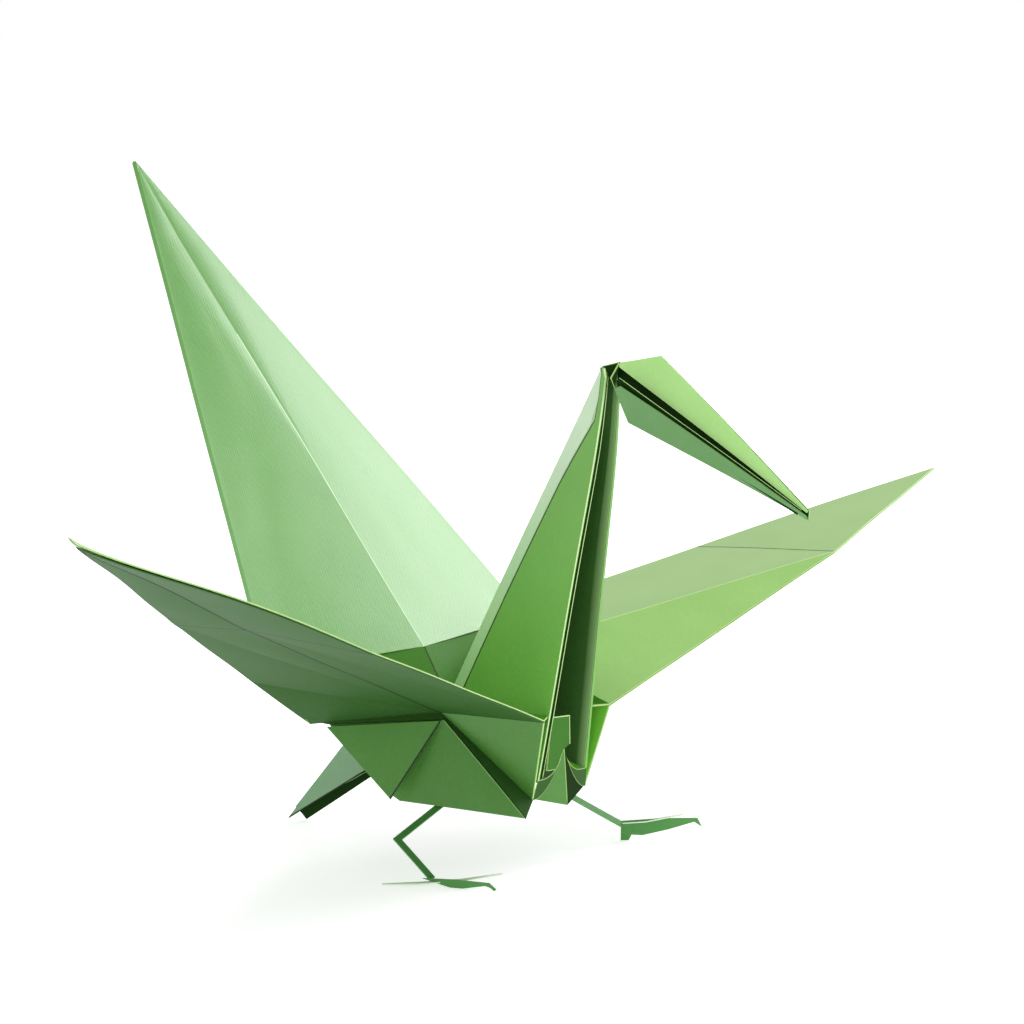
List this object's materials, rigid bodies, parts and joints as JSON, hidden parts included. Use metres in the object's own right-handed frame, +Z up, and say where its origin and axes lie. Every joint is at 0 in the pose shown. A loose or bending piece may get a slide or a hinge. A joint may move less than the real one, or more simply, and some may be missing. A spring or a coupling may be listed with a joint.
{
  "type": "origami crane",
  "caption": "Standing crane folded from one square of stiff paper, with raised wings, an upright fan, a short tail and two cut-paper legs.",
  "frame": {"origin": "on the ground the bird stands on, below its middle plane, a little behind its toes", "axes": "+X forward, the way the beak points; +Y to the bird's left; +Z up"},
  "size_m": [0.1471, 0.2382, 0.1168],
  "materials": {
    "sheet_paper": "satin woven-grain card",
    "leg_paper": "satin card",
    "foot_paper": "satin card"
  },
  "bodies": {
    "root": {"folded_sheet": "sheet_paper", "right_leg": "leg_paper", "left_leg": "leg_paper", "right_foot": "foot_paper", "left_foot": "foot_paper"}
  },
  "joints": []
}
